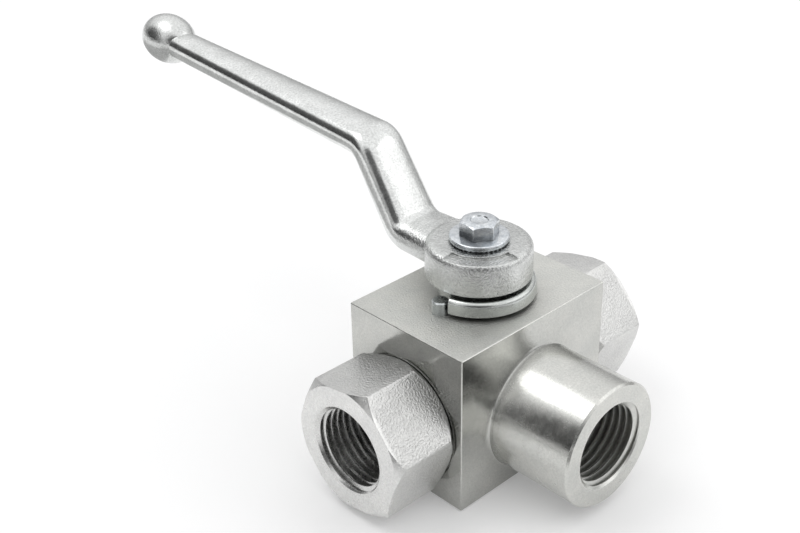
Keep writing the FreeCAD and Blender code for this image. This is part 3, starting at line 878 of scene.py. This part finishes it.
@dataclass
class Adapter:
    """Hexagon adapter that screws into the block and carries an in-line port."""

    across_flats: float = 30.0
    block_half: float = 23.75
    port_height: float = 17.3
    reach: float = 17.85
    gap: float = 0.12
    collar: float = 0.4
    collar_radius: float = 15.0
    collar_ease_along: float = 0.12
    collar_ease_across: float = 0.15
    shoulder_step: float = 0.05
    face_radius: float = 15.3
    face_chamfer: float = 1.5
    rear_radius: float = 15.4
    rear_chamfer: float = 2.2
    corner_round: float = 0.3
    stub_radius: float = 11.98
    thread_radius: float = 13.5
    groove_radius: float = 10.68
    groove_width: float = 2.3
    thread_length: float = 8.0
    inner_end: float = 9.6
    pocket_radius: float = 10.02
    pocket_floor: float = 13.5

    def build(self) -> bpy.types.Object:
        """Model one adapter on Z, with heights measured from the stem axis.

        Returns:
            The adapter, not yet in place.
        """
        corner = self.across_flats / math.sqrt(3)
        wide = corner + OVERSHOOT
        back = self.block_half + self.gap
        face = self.block_half + self.reach
        rear_slope = self.rear_chamfer / (corner - self.rear_radius)
        face_slope = self.face_chamfer / (corner - self.face_radius)
        piece = Bench.prism("adapter", corner, back, face, self.corner_round)
        shoulder = back + self.collar
        envelope = Bench.turned("chamfers", [
            (back, self.collar_radius - self.collar_ease_across),
            (back + self.collar_ease_along, self.collar_radius), (shoulder, self.collar_radius),
            (shoulder + self.shoulder_step, self.rear_radius),
            (shoulder + rear_slope * (wide - self.rear_radius), wide),
            (face - face_slope * (wide - self.face_radius), wide), (face, self.face_radius)])
        Bench.cut(piece, envelope, Cut.KEEP_COMMON)
        groove_end = self.block_half - self.thread_length
        groove_start = groove_end - self.groove_width
        stub = Bench.turned("stub", [
            (self.inner_end, self.stub_radius), (groove_start, self.stub_radius),
            (groove_start, self.groove_radius), (groove_end, self.groove_radius),
            (groove_end, self.thread_radius), (back + OVERSHOOT, self.thread_radius)])
        Bench.cut(piece, stub, Cut.JOIN)
        pocket = Bench.rod("pocket", self.pocket_radius, self.inner_end - OVERSHOOT,
                           self.pocket_floor)
        Bench.cut(piece, pocket, Cut.AWAY)
        Port(PIPE_THREAD).cut_into(piece, (0.0, 0.0, face), (0.0, 0.0, 1.0), face)
        Bench.close_up(piece)
        return piece

    def mount(self, piece: bpy.types.Object, side: float, lean: float) -> bpy.types.Object:
        """Screw an adapter home.

        Args:
            piece: The adapter as built.
            side: -1 for the left port, 1 for the right.
            lean: Degrees that one corner stands off the top, towards the side port.

        Returns:
            The adapter in place.
        """
        angle = math.radians(lean)
        up = (0.0, -math.sin(angle), math.cos(angle))
        return Bench.place(piece, (0.0, 0.0, self.port_height), (side, 0.0, 0.0), up)

    def dress(self, piece: bpy.types.Object, node: str, wardrobe: Wardrobe) -> None:
        """Finish an adapter and hand it over."""
        wardrobe.dress(piece, ADAPTER_STEEL)
        fit(piece, "valve_body", (node,))


# ---- lever -------------------------------------------------------------------------------
@dataclass
class Lever:
    """One-piece lever: round boss, cranked arm and ball end."""

    boss_bottom: float = 45.4
    boss_top: float = 53.6
    boss_radius: float = 12.3
    top_round: float = 1.8
    rim_steps: int = 8
    bottom_round: float = 0.35
    bottom_ease_share: float = 0.3
    pad_radius: float = 8.0
    pad_height: float = 0.88
    mark_radius: float = 8.5
    mark_depth: float = 0.5
    mark_draft: float = 0.15
    mark_core_low: float = 2.0
    mark_core_high: float = 3.0
    tool_reach: float = 5.0
    square: float = 9.08
    neck_drop: float = 1.0
    crank_angle: float = 56.0
    crank_thickness: float = 6.8
    arm_slope: float = 3.6
    arm_thickness: float = 6.2
    bend_reach: float = 31.4
    bend_height: float = 70.6
    outer_bend: float = 8.0
    inner_bend: float = 3.0
    root_width: float = 16.6
    bend_width: float = 13.0
    bend_width_reach: float = 36.0
    tip_width: float = 8.8
    side_round: float = 0.47
    crown_angle: float = 16.0
    crown_steps: int = 5
    corner_steps: int = 6
    knob_reach: float = 116.36
    knob_radius: float = 6.6
    knob_half_length: float = 8.75
    knob_segments: int = 72
    knob_rings: int = 48
    bend_steps: int = 10
    crank_steps: int = 6
    arm_steps: int = 24
    neck_steps: int = 3

    def knob_height(self) -> float:
        """Height of the knob's centre, on the arm's middle line."""
        slope = math.radians(self.arm_slope)
        rise = (self.knob_reach - self.bend_reach) * math.tan(slope)
        return self.bend_height + rise - self.arm_thickness / math.cos(slope) / 2

    def half_width(self, reach: float) -> float:
        """Half the arm's width at a distance from the stem axis."""
        if reach < self.bend_width_reach:
            share = max(reach, 0.0) / self.bend_width_reach
            return (self.root_width + (self.bend_width - self.root_width) * share) / 2
        share = (reach - self.bend_width_reach) / (self.knob_reach - self.bend_width_reach)
        return (self.bend_width + (self.tip_width - self.bend_width) * share) / 2

    def edge_lines(self) -> tuple[list, list]:
        """Work out the arm's upper and lower side lines.

        Returns:
            The upper and the lower line as (reach, height) corners, with the same count.
        """
        slope = math.tan(math.radians(self.arm_slope))
        crank = math.radians(self.crank_angle)
        neck_level = self.boss_top - self.neck_drop
        neck_top = self.bend_reach - (self.bend_height - neck_level) / math.tan(crank)
        neck_low = (neck_top + self.crank_thickness / math.sin(crank)
                    + (self.boss_bottom - neck_level) / math.tan(crank))
        drop = self.arm_thickness / math.cos(math.radians(self.arm_slope))
        climb = self.bend_height - drop - self.boss_bottom - slope * (self.bend_reach - neck_low)
        low_reach = climb / (math.tan(crank) - slope) + neck_low
        low_height = self.bend_height - drop + slope * (low_reach - self.bend_reach)
        middle = self.knob_height()
        upper = [(0.0, neck_level), (neck_top, neck_level), (self.bend_reach, self.bend_height),
                 (self.knob_reach, middle + drop / 2)]
        lower = [(0.0, self.boss_bottom), (neck_low, self.boss_bottom), (low_reach, low_height),
                 (self.knob_reach, middle - drop / 2)]
        return upper, lower

    def round_line(self, corners: list, radii: tuple) -> list:
        """Round the two bends of a side line and divide it into stations.

        Args:
            corners: The line's four corners.
            radii: Bend radius at the second and the third corner.

        Returns:
            Points along the line.
        """
        points = [Vector(corner) for corner in corners]
        stations = [points[0]]
        bends = ((1, radii[0], self.neck_steps), (2, radii[1], self.crank_steps))
        for index, radius, steps_before in bends:
            corner = points[index]
            back = (points[index - 1] - corner).normalized()
            ahead = (points[index + 1] - corner).normalized()
            half = back.angle(ahead) / 2
            setback = radius / math.tan(half)
            start, end = corner + back * setback, corner + ahead * setback
            centre = corner + (back + ahead).normalized() * (radius / math.sin(half))
            last = stations[-1]
            for step in range(1, steps_before):
                stations.append(last.lerp(start, step / steps_before))
            first_arm, last_arm = start - centre, end - centre
            for step in range(self.bend_steps + 1):
                arm = first_arm.lerp(last_arm, step / self.bend_steps).normalized() * radius
                stations.append(centre + arm)
        last = stations[-1]
        for step in range(1, self.arm_steps + 1):
            stations.append(last.lerp(points[3], step / self.arm_steps))
        return stations

    def section(self, upper: Vector, lower: Vector) -> list:
        """Make one cross-section of the arm, with a crowned top and eased corners.

        Args:
            upper: (reach, height) of its top.
            lower: (reach, height) of its bottom.

        Returns:
            Its points in order round the section.
        """
        middle = (upper + lower) / 2
        rise = upper - lower
        tall = rise.length
        half = self.half_width(middle.x)
        corner = tall * self.side_round
        flat = half - corner
        lean = math.radians(self.crown_angle)
        brow = flat + corner * math.sin(lean)
        brow_height = tall / 2 - corner * (1 - math.cos(lean))
        crown = brow * math.tan(lean) / 2
        top_middle = tall / 2 - corner
        bottom_middle = corner - tall / 2
        outline = []
        for step in range(-self.crown_steps, self.crown_steps + 1):
            share = step / self.crown_steps
            outline.append((brow * share, brow_height + crown * (1 - share * share)))
        quarter = math.pi / 2
        turns = self.corner_steps
        for step in range(1, turns + 1):
            angle = (quarter - lean) * (1 - step / turns)
            outline.append((flat + corner * math.cos(angle), top_middle + corner * math.sin(angle)))
        for step in range(0, turns + 1):
            angle = -quarter * step / turns
            outline.append((flat + corner * math.cos(angle), bottom_middle + corner * math.sin(angle)))
        outline += [(flat * share, -tall / 2) for share in (0.5, 0.0, -0.5)]
        for step in range(0, turns + 1):
            angle = -quarter - quarter * step / turns
            outline.append((corner * math.cos(angle) - flat, bottom_middle + corner * math.sin(angle)))
        for step in range(0, turns):
            angle = math.pi - (quarter - lean) * step / turns
            outline.append((corner * math.cos(angle) - flat, top_middle + corner * math.sin(angle)))
        along = rise / tall
        return [Vector((x, middle.x + along.x * z, middle.y + along.y * z)) * MM
                for x, z in outline]

    def arm(self) -> bpy.types.Object:
        """Model the arm by extruding its section from station to station.

        Returns:
            The arm.
        """
        upper, lower = self.edge_lines()
        upper = self.round_line(upper, (self.inner_bend, self.outer_bend))
        lower = self.round_line(lower, (self.outer_bend, self.inner_bend))
        sections = [self.section(top, low) for top, low in zip(upper, lower)]
        Bench.clear()
        bpy.ops.mesh.primitive_circle_add(vertices=len(sections[0]), radius=MM, fill_type="NGON")
        piece = Bench.take("arm")
        for vertex, point in zip(piece.data.vertices, sections[0]):
            vertex.co = point
        bpy.ops.object.mode_set(mode="EDIT")
        bpy.ops.mesh.select_all(action="SELECT")
        for before, after in zip(sections, sections[1:]):
            bpy.ops.mesh.extrude_region_move()
            mesh = bmesh.from_edit_mesh(piece.data)
            moved = [vertex for vertex in mesh.verts if vertex.select]
            for vertex in moved:
                gaps = [(point - vertex.co).length_squared for point in before]
                vertex.co = after[gaps.index(min(gaps))]
            bmesh.update_edit_mesh(piece.data)
        bpy.ops.mesh.select_all(action="SELECT")
        bpy.ops.mesh.normals_make_consistent(inside=False)
        bpy.ops.object.mode_set(mode="OBJECT")
        return piece

    def boss(self) -> bpy.types.Object:
        """Model the boss with its rounded rim and the pad under it.

        Returns:
            The boss.
        """
        ease = self.bottom_round * self.bottom_ease_share
        outline = [(self.boss_bottom - self.pad_height, self.pad_radius),
                   (self.boss_bottom, self.pad_radius),
                   (self.boss_bottom, self.boss_radius - self.bottom_round),
                   (self.boss_bottom + ease, self.boss_radius - ease),
                   (self.boss_bottom + self.bottom_round, self.boss_radius)]
        for step in range(0, self.rim_steps + 1):
            angle = math.pi / 2 * step / self.rim_steps
            outline.append((self.boss_top - self.top_round * (1 - math.sin(angle)),
                            self.boss_radius - self.top_round * (1 - math.cos(angle))))
        return Bench.turned("boss", outline, FINE_SIDES)

    def knob(self) -> bpy.types.Object:
        """Model the ball end, drawn out a little along the arm.

        Returns:
            The knob, in place.
        """
        Bench.clear()
        bpy.ops.mesh.primitive_uv_sphere_add(segments=self.knob_segments, ring_count=self.knob_rings,
                                             radius=self.knob_radius * MM)
        knob = Bench.take("knob")
        knob.scale = (1.0, 1.0, self.knob_half_length / self.knob_radius)
        bpy.ops.object.transform_apply(location=False, rotation=False, scale=True)
        slope = math.radians(self.arm_slope)
        return Bench.place(knob, (0.0, self.knob_reach, self.knob_height()),
                           (0.0, math.cos(slope), math.sin(slope)),
                           (0.0, -math.sin(slope), math.cos(slope)))

    def flow_mark(self) -> bpy.types.Object:
        """Model what is sunk round a quarter of the boss, to show the two ports in use.

        Returns:
            The tool that cuts the mark.
        """
        mark = Bench.rod("flow_mark", self.boss_radius + OVERSHOOT, self.boss_top - self.mark_depth,
                         self.boss_top + OVERSHOOT, FINE_SIDES)
        core = Bench.turned("mark_core", [
            (self.boss_top - self.mark_core_low, self.mark_radius + self.mark_draft),
            (self.boss_top + self.mark_core_high, self.mark_radius - self.mark_draft)], FINE_SIDES)
        Bench.cut(mark, core, Cut.AWAY)
        span = 2 * self.boss_radius
        quarter = Bench.block("mark_quarter", (-span, -span, self.boss_bottom),
                              (0.0, 0.0, self.boss_top + self.tool_reach))
        Bench.cut(mark, quarter, Cut.KEEP_COMMON)
        return mark

    def build(self) -> bpy.types.Object:
        """Model the whole lever.

        Returns:
            The piece.
        """
        piece = self.boss()
        Bench.cut(piece, self.arm(), Cut.JOIN)
        Bench.cut(piece, self.knob(), Cut.JOIN)
        Bench.cut(piece, self.flow_mark(), Cut.AWAY)
        half = self.square / 2
        socket = Bench.block("socket", (-half, -half, self.boss_bottom - self.tool_reach),
                             (half, half, self.boss_top + self.tool_reach))
        Bench.cut(piece, socket, Cut.AWAY)
        piece.name = "lever"
        Bench.close_up(piece)
        return piece

    def dress(self, piece: bpy.types.Object, wardrobe: Wardrobe) -> None:
        """Finish the lever and hand it over."""
        wardrobe.dress(piece, LEVER_ZINC)
        fit(piece, "lever", ("handle",))


# ---- fasteners ---------------------------------------------------------------------------
@dataclass
class Fasteners:
    """Hexagon screw, flat washer and toothed lock washer on top of the lever."""

    seat: float = 53.6
    lock_radius: float = 6.5
    lock_thickness: float = 0.4
    tooth_count: int = 36
    tooth_length: float = 0.3
    tooth_twist: float = 0.08
    tip_band: float = 0.1
    sides_per_tooth: int = 4
    washer_radius: float = 6.85
    washer_thickness: float = 1.1
    washer_round: float = 0.18
    rim_steps: int = 4
    hole_radius: float = 2.7
    head_flats: float = 8.0
    head_height: float = 3.5
    head_turn: float = 26.0
    head_chamfer: float = 0.5
    head_edge_round: float = 0.12
    head_foot: float = 0.2
    foot_inset: float = 0.1
    crown_inset: float = 0.2
    crown_drop: float = 0.05
    crown_ease: float = 0.15
    dish_radius: float = 2.1
    dish_depth: float = 0.35
    dish_floor_inset: float = 0.5
    dish_wall_inset: float = 0.2
    dish_wall_share: float = 0.8
    dish_sides: int = 64
    shank_length: float = 10.0
    shank_radius: float = 2.5
    shank_point: float = 0.5
    plain_shank: float = 1.5

    def lock_washer(self) -> bpy.types.Object:
        """Model the toothed washer: a thin ring with its teeth drawn out and twisted.

        Returns:
            The piece.
        """
        sides = self.sides_per_tooth * self.tooth_count
        middle = self.seat + self.lock_thickness / 2
        inner = self.lock_radius - self.tooth_length
        thin = self.lock_thickness / 2 - self.tooth_twist
        piece = Bench.rod("lock_washer", inner, middle - thin, middle + thin, sides)
        bpy.ops.object.mode_set(mode="EDIT")
        bpy.ops.mesh.select_all(action="DESELECT")
        mesh = bmesh.from_edit_mesh(piece.data)
        for face in mesh.faces:
            centre = face.calc_center_median()
            if abs(face.normal.z) < 0.5:
                step = int((math.atan2(centre.y, centre.x) % math.tau) / math.tau * sides)
                face.select_set(step % self.sides_per_tooth in (0, 1))
        bmesh.update_edit_mesh(piece.data)
        grow = self.lock_radius / inner
        bpy.ops.mesh.extrude_region_move()
        bpy.ops.transform.resize(value=(grow, grow, 1.0), center_override=(0.0, 0.0, middle * MM))
        mesh = bmesh.from_edit_mesh(piece.data)
        for vertex in mesh.verts:
            if math.hypot(vertex.co.x, vertex.co.y) > (self.lock_radius - self.tip_band) * MM:
                angle = math.atan2(vertex.co.y, vertex.co.x) % math.tau
                turn = angle / math.tau * self.tooth_count % 1.0
                side = 1.0 if 0.2 < turn < 0.8 else -1.0
                side = 0.0 if 0.1 < turn < 0.4 else side
                vertex.co.z += side * self.tooth_twist * MM
        bmesh.update_edit_mesh(piece.data)
        bpy.ops.object.mode_set(mode="OBJECT")
        hole = Bench.rod("hole", self.hole_radius, self.seat - OVERSHOOT, self.seat + 2 * OVERSHOOT,
                         SMALL_SIDES)
        Bench.cut(piece, hole, Cut.AWAY)
        Bench.close_up(piece)
        return piece

    def washer(self) -> bpy.types.Object:
        """Model the flat washer with its stamped, rounded rim.

        Returns:
            The piece.
        """
        low = self.seat + self.lock_thickness
        high = low + self.washer_thickness
        radius, ease = self.washer_radius, self.washer_round
        outline = [(low, radius - ease)]
        for step in range(1, self.rim_steps + 1):
            angle = math.pi / 2 * step / self.rim_steps
            outline.append((low + ease * (1 - math.cos(angle)),
                            radius - ease * (1 - math.sin(angle))))
        for step in range(0, self.rim_steps + 1):
            angle = math.pi / 2 * step / self.rim_steps
            outline.append((high - 2 * ease * (1 - math.sin(angle)),
                            radius - 2 * ease * (1 - math.cos(angle))))
        piece = Bench.turned("flat_washer", outline)
        hole = Bench.rod("hole", self.hole_radius, low - OVERSHOOT, high + OVERSHOOT, SMALL_SIDES)
        Bench.cut(piece, hole, Cut.AWAY)
        Bench.close_up(piece)
        return piece

    def screw(self) -> bpy.types.Object:
        """Model the screw: chamfered head with a shallow dish, and a threaded shank.

        Returns:
            The piece.
        """
        base = self.seat + self.lock_thickness + self.washer_thickness
        top = base + self.head_height
        corner = self.head_flats / math.sqrt(3)
        crown = self.head_flats / 2 - self.crown_inset
        slope = self.head_chamfer / (corner - crown)
        wide = corner + OVERSHOOT
        piece = Bench.prism("head_screw", corner, base, top, self.head_edge_round)
        turn = math.radians(self.head_turn)
        Bench.place(piece, (0.0, 0.0, 0.0), (0.0, 0.0, 1.0), (math.cos(turn), math.sin(turn), 0.0))
        envelope = Bench.turned("crown", [
            (base, crown + self.foot_inset), (base + self.head_foot, wide),
            (top - slope * (wide - crown), wide),
            (top - self.crown_drop, crown + self.crown_drop / slope), (top, crown - self.crown_ease)])
        Bench.cut(piece, envelope, Cut.KEEP_COMMON)
        dish = Bench.turned("dish", [
            (top - self.dish_depth, self.dish_radius - self.dish_floor_inset),
            (top - self.dish_depth * self.dish_wall_share, self.dish_radius - self.dish_wall_inset),
            (top, self.dish_radius),
            (top + OVERSHOOT, self.dish_radius + self.dish_wall_inset)], self.dish_sides)
        Bench.cut(piece, dish, Cut.AWAY)
        end = base - self.shank_length
        shank = Bench.turned("shank", [
            (end, self.shank_radius - self.shank_point), (end + self.shank_point, self.shank_radius),
            (base + self.shank_point, self.shank_radius)], SMALL_SIDES)
        coil = SCREW_THREAD.coil("die", end - OVERSHOOT, base - self.plain_shank, outside=True)
        Bench.cut(shank, coil, Cut.AWAY)
        Bench.cut(piece, shank, Cut.JOIN)
        Bench.close_up(piece)
        return piece

    def build(self, wardrobe: Wardrobe) -> None:
        """Make, dress and hand over the three fasteners."""
        made = ((self.lock_washer(), "handle_lock_washer"), (self.washer(), "handle_washer"),
                (self.screw(), "handle_screw"))
        for piece, node in made:
            wardrobe.dress(piece, FASTENER_ZINC)
            fit(piece, "lever", (node,))


@dataclass
class Trim:
    """CAD nodes whose shape is right and that only need their finish."""

    def dress(self, wardrobe: Wardrobe) -> None:
        """Dress the stop set, the stem, the ball and the seals."""
        finishes = {
            "stop_disc": DISC_STEEL, "stop_pin": PIN_STEEL, "stem": STEM_STEEL, "ball": BALL_CHROME,
            "stem_thrust_washer": SEAT_ACETAL, "left_seat": SEAT_ACETAL, "right_seat": SEAT_ACETAL,
            "stem_o_ring_lower": SEAL_RUBBER, "stem_o_ring_upper": SEAL_RUBBER,
            "left_seat_o_ring": SEAL_RUBBER, "right_seat_o_ring": SEAL_RUBBER,
            "left_adapter_o_ring": SEAL_RUBBER, "right_adapter_o_ring": SEAL_RUBBER,
        }
        for node, finish in finishes.items():
            wardrobe.dress_node(node, finish)


# ---- studio ------------------------------------------------------------------------------
@dataclass(frozen=True)
class DarkStand:
    """A darker patch of the room, told by its direction in degrees and how dark its core is."""

    azimuth: float
    elevation: float
    core: float
    rim: float
    level: float

    def facing(self) -> tuple:
        """Give the direction of its middle."""
        azimuth, elevation = math.radians(self.azimuth), math.radians(self.elevation)
        return (math.cos(elevation) * math.cos(azimuth), math.cos(elevation) * math.sin(azimuth),
                math.sin(elevation))


@dataclass
class Studio:
    """Pale floor, soft light and camera."""

    azimuth: float = 226.756
    elevation: float = 29.281
    roll: float = -1.238
    distance: float = 296.96
    aim_height: float = 28.5
    side_offset: float = -18.17
    up_offset: float = 15.80
    lens: float = 57.28
    floor_size: float = 6.0
    floor_drop: float = 0.0001
    floor_tone: float = 0.82
    floor_roughness: float = 0.9
    floor_glow: float = 0.20
    lamp_aim: tuple = (0.0, 0.02, 0.03)
    sky_blue: float = 1.005
    sky_stops: tuple = ((0.0, 0.80), (0.49, 0.70), (0.51, 0.32), (0.617, 0.62), (0.742, 0.92),
                        (0.78, 1.02), (0.885, 1.10), (1.0, 1.10))
    dark_stands: tuple = (DarkStand(azimuth=138.0, elevation=12.0, core=22.0, rim=36.0, level=0.12),
                          DarkStand(azimuth=223.0, elevation=22.0, core=16.0, rim=36.0, level=0.14))

    def camera(self) -> None:
        """Set the camera."""
        azimuth, elevation = math.radians(self.azimuth), math.radians(self.elevation)
        back = Vector((math.cos(elevation) * math.cos(azimuth),
                       math.cos(elevation) * math.sin(azimuth), math.sin(elevation)))
        right = Vector((0.0, 0.0, 1.0)).cross(back).normalized()
        up = back.cross(right)
        roll = math.radians(self.roll)
        right, up = (right * math.cos(roll) + up * math.sin(roll),
                     up * math.cos(roll) - right * math.sin(roll))
        aim = Vector((0.0, 0.0, self.aim_height))
        spot = aim + back * self.distance + right * self.side_offset + up * self.up_offset
        data = bpy.data.cameras.new("camera")
        data.lens = self.lens
        data.sensor_width = SENSOR_WIDTH
        data.clip_start = 0.01
        camera = bpy.data.objects.new("camera", data)
        turn = Matrix((right, up, back)).transposed().to_4x4()
        camera.matrix_world = Matrix.Translation(spot * MM) @ turn
        bpy.context.scene.collection.objects.link(camera)
        bpy.context.scene.camera = camera

    def floor(self) -> None:
        """Lay the floor."""
        Bench.clear()
        bpy.ops.mesh.primitive_plane_add(size=self.floor_size,
                                         location=(0.0, 0.0, CAD_BOX[0][2] - self.floor_drop))
        floor = Bench.take("floor")
        sheet = Sheet("pale_floor")
        tone = self.floor_tone
        sheet.shader.inputs["Base Color"].default_value = (tone, tone, tone, 1.0)
        sheet.shader.inputs["Roughness"].default_value = self.floor_roughness
        sheet.shader.inputs["Emission Color"].default_value = (1.0, 1.0, 1.0, 1.0)
        sheet.shader.inputs["Emission Strength"].default_value = self.floor_glow
        floor.data.materials.append(sheet.material)

    def card(self, name: str, spot: tuple, size: tuple, level: float) -> None:
        """Lay a dim glowing card, hidden from the camera, from diffuse light and from shadows, that
        shows only in reflections: a painted reflection that keeps bright metal from washing out.

        Args:
            name: The card's name.
            spot: Its middle, in metres.
            size: Its width and length, in metres, along and across the camera's left.
            level: How brightly it glows.
        """
        Bench.clear()
        bpy.ops.mesh.primitive_plane_add(size=1.0, location=spot,
                                         rotation=(0.0, 0.0, math.radians(self.azimuth - 90.0)))
        bpy.context.object.scale = (*size, 1.0)
        card = Bench.take(name)
        sheet = Sheet(name)
        sheet.shader.inputs["Base Color"].default_value = (0.0, 0.0, 0.0, 1.0)
        sheet.shader.inputs["Specular IOR Level"].default_value = 0.0
        # Painted reflection: the card is black and glows, and only glossy rays see it.
        sheet.shader.inputs["Emission Color"].default_value = (1.0, 1.0, 1.0, 1.0)
        sheet.shader.inputs["Emission Strength"].default_value = level
        card.data.materials.append(sheet.material)
        card.visible_camera = False
        card.visible_diffuse = False
        card.visible_shadow = False

    def lamp(self, name: str, spot: tuple, size: tuple, power: float) -> None:
        """Hang one soft light that faces the valve.

        Args:
            name: The light's name.
            spot: Where it hangs, in metres.
            size: Its width and height, in metres.
            power: Its power in watts.
        """
        data = bpy.data.lights.new(name, "AREA")
        data.shape = "RECTANGLE"
        data.size, data.size_y = size
        data.energy = power
        lamp = bpy.data.objects.new(name, data)
        lamp.location = spot
        facing = Vector(spot) - Vector(self.lamp_aim)
        lamp.rotation_euler = facing.to_track_quat("Z", "Y").to_euler()
        bpy.context.scene.collection.objects.link(lamp)

    def sky(self) -> None:
        """Light the room: bright overhead, dimmer round the horizon, darker toward two stands."""
        world = bpy.data.worlds.new("room")
        bpy.context.scene.world = world
        world.use_nodes = True
        nodes, links = world.node_tree.nodes, world.node_tree.links
        place = nodes.new("ShaderNodeTexCoord").outputs["Generated"]
        parts = nodes.new("ShaderNodeSeparateXYZ")
        links.new(place, parts.inputs[0])
        level = nodes.new("ShaderNodeMapRange")
        level.inputs["From Min"].default_value = -1.0
        links.new(parts.outputs["Z"], level.inputs["Value"])
        ramp = nodes.new("ShaderNodeValToRGB")
        links.new(level.outputs["Result"], ramp.inputs["Fac"])
        ramp.color_ramp.elements[0].position = self.sky_stops[0][0]
        ramp.color_ramp.elements[1].position = self.sky_stops[-1][0]
        for position, _ in self.sky_stops[1:-1]:
            ramp.color_ramp.elements.new(position)
        for element, (_, value) in zip(ramp.color_ramp.elements, self.sky_stops):
            element.color = (value, value, value * self.sky_blue, 1.0)
        colour = ramp.outputs["Color"]
        for stand in self.dark_stands:
            facing = nodes.new("ShaderNodeVectorMath")
            facing.operation = "DOT_PRODUCT"
            links.new(place, facing.inputs[0])
            facing.inputs[1].default_value = stand.facing()
            shade = nodes.new("ShaderNodeMapRange")
            shade.interpolation_type = "SMOOTHSTEP"
            shade.inputs["From Min"].default_value = math.cos(math.radians(stand.rim))
            shade.inputs["From Max"].default_value = math.cos(math.radians(stand.core))
            shade.inputs["To Min"].default_value = 1.0
            shade.inputs["To Max"].default_value = stand.level
            links.new(facing.outputs["Value"], shade.inputs["Value"])
            dim = nodes.new("ShaderNodeVectorMath")
            dim.operation = "SCALE"
            links.new(colour, dim.inputs[0])
            links.new(shade.outputs["Result"], dim.inputs["Scale"])
            colour = dim.outputs[0]
        background = nodes["Background"]
        background.inputs["Strength"].default_value = 1.0
        links.new(colour, background.inputs["Color"])

    def build(self) -> None:
        """Set up the whole studio."""
        self.camera()
        self.floor()
        # Painted reflections: two glowing cards that only the metal's reflections show.
        self.card("side_reflection_card", spot=(-0.108, 0.184, 0.0004), size=(0.190, 0.38), level=0.50)
        self.card("front_reflection_card", spot=(-0.1685, -0.179, 0.0004), size=(0.34, 0.308), level=0.28)
        self.lamp("key_light", spot=(-0.25, 0.35, 0.9), size=(0.5, 0.4), power=1.2)
        self.lamp("fill_light", spot=(0.75, -0.8, 0.75), size=(1.1, 0.8), power=1.4)
        self.sky()
        view = bpy.context.scene.view_settings
        view.view_transform = "Standard"
        view.exposure = 0.0


def main() -> None:
    """Build the studio and every piece."""
    logging.basicConfig(level=logging.INFO, format="%(name)s: %(message)s")
    wardrobe = Wardrobe()
    Studio().build()
    block = ValveBlock()
    block.dress(block.build(), wardrobe)
    adapter = Adapter()
    left = adapter.build()
    right = Bench.copy(left, "right_hex_adapter")
    left.name = "left_hex_adapter"
    adapter.dress(adapter.mount(left, side=-1.0, lean=19.7), "left_adapter", wardrobe)
    adapter.dress(adapter.mount(right, side=1.0, lean=18.3), "right_adapter", wardrobe)
    lever = Lever()
    lever.dress(lever.build(), wardrobe)
    Fasteners().build(wardrobe)
    Trim().dress(wardrobe)


if __name__ == "__main__":
    main()
